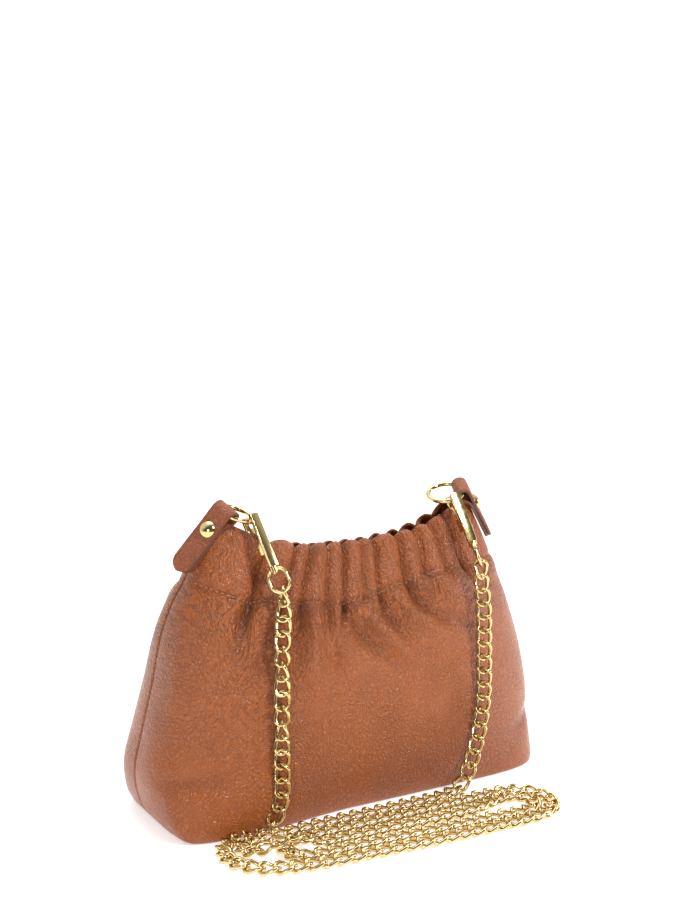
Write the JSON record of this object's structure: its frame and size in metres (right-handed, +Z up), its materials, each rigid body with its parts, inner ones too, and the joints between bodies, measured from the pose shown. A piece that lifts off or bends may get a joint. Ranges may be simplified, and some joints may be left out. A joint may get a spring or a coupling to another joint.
{
  "type": "gathered leather shoulder bag",
  "caption": "Small soft leather shoulder bag with a gathered elastic mouth, riveted tabs with rings, snap hooks and a curb chain strap.",
  "frame": {"origin": "middle of the bag's base, on the surface that it stands on", "axes": "+X along the bag to the right, +Y to the back, +Z up"},
  "size_m": [0.2507, 0.1596, 0.1771],
  "materials": {
    "leather": "pebbled full-grain leather, satin",
    "lining_cloth": "plain woven lining, matt",
    "elastic_band": "woven elastic, matt",
    "stiffener": "fibre board, matt",
    "snap_steel": "nickel plated, satin",
    "gold_plate": "pale gold plating, polished",
    "steel": "bright spring steel"
  },
  "bodies": {
    "bag": {"front_panel": "leather", "back_panel": "leather", "base_board": "stiffener", "lining_front": "lining_cloth", "lining_back": "lining_cloth", "elastic_front": "elastic_band", "elastic_back": "elastic_band", "snap_socket": "snap_steel", "snap_stud": "snap_steel", "left_tab": "leather", "left_rivet_cap": "gold_plate", "left_rivet_post": "gold_plate", "right_tab": "leather", "right_rivet_cap": "gold_plate", "right_rivet_post": "gold_plate", "left_chain_run": "gold_plate", "chain_heap": "gold_plate", "right_chain_run": "gold_plate"},
    "left_ring": {"left_ring": "gold_plate"},
    "left_hook": {"left_hook_body": "gold_plate", "left_gate_pin": "steel", "left_gate_spring": "steel"},
    "left_gate": {"left_hook_gate": "gold_plate"},
    "left_eye": {"left_swivel_eye": "gold_plate"},
    "right_ring": {"right_ring": "gold_plate"},
    "right_hook": {"right_hook_body": "gold_plate", "right_gate_pin": "steel", "right_gate_spring": "steel"},
    "right_gate": {"right_hook_gate": "gold_plate"},
    "right_eye": {"right_swivel_eye": "gold_plate"}
  },
  "joints": [
    {"name": "left_ring_lift", "type": "hinge", "parent": "bag", "child": "left_ring", "pos_m": [-0.077, -0.01695, 0.16995], "axis": [0.312, -0.8346, -0.454], "range_deg": [0, 12], "deforming": ["left_chain_run"]},
    {"name": "left_hook_swing", "type": "hinge", "parent": "left_ring", "child": "left_hook", "pos_m": [-0.06399, -0.02186, 0.16509], "axis": [-0.9397, -0.342, 0], "range_deg": [0, 35], "deforming": ["left_chain_run"]},
    {"name": "left_gate_open", "type": "hinge", "parent": "left_hook", "child": "left_gate", "pos_m": [-0.06116, -0.02964, 0.15255], "axis": [0.9397, 0.342, 0], "range_deg": [0, 13], "stiffness_Nm_per_rad": 0.06, "springref_deg": -5.16, "deforming": ["left_gate_spring"]},
    {"name": "left_swivel_turn", "type": "hinge", "parent": "left_hook", "child": "left_eye", "pos_m": [-0.05816, -0.03789, 0.14145], "axis": [-0.171, 0.4698, 0.866], "range_deg": [-40, 40], "deforming": ["left_chain_run"]},
    {"name": "right_ring_lift", "type": "hinge", "parent": "bag", "child": "right_ring", "pos_m": [0.077, -0.01695, 0.16995], "axis": [0.312, 0.8346, 0.454], "range_deg": [0, 12], "deforming": ["right_chain_run"]},
    {"name": "right_hook_swing", "type": "hinge", "parent": "right_ring", "child": "right_hook", "pos_m": [0.06718, -0.02313, 0.16569], "axis": [-0.9919, 0.0346, -0.1219], "range_deg": [0, 35], "deforming": ["right_chain_run"]},
    {"name": "right_gate_open", "type": "hinge", "parent": "right_hook", "child": "right_gate", "pos_m": [0.06842, -0.03145, 0.15324], "axis": [0.9919, -0.0346, 0.1219], "range_deg": [0, 13], "stiffness_Nm_per_rad": 0.06, "springref_deg": -5.16, "deforming": ["right_gate_spring"]},
    {"name": "right_swivel_turn", "type": "hinge", "parent": "right_hook", "child": "right_eye", "pos_m": [0.06947, -0.04027, 0.14223], "axis": [-0.088, 0.5034, 0.8596], "range_deg": [-40, 40], "deforming": ["right_chain_run"]}
  ]
}
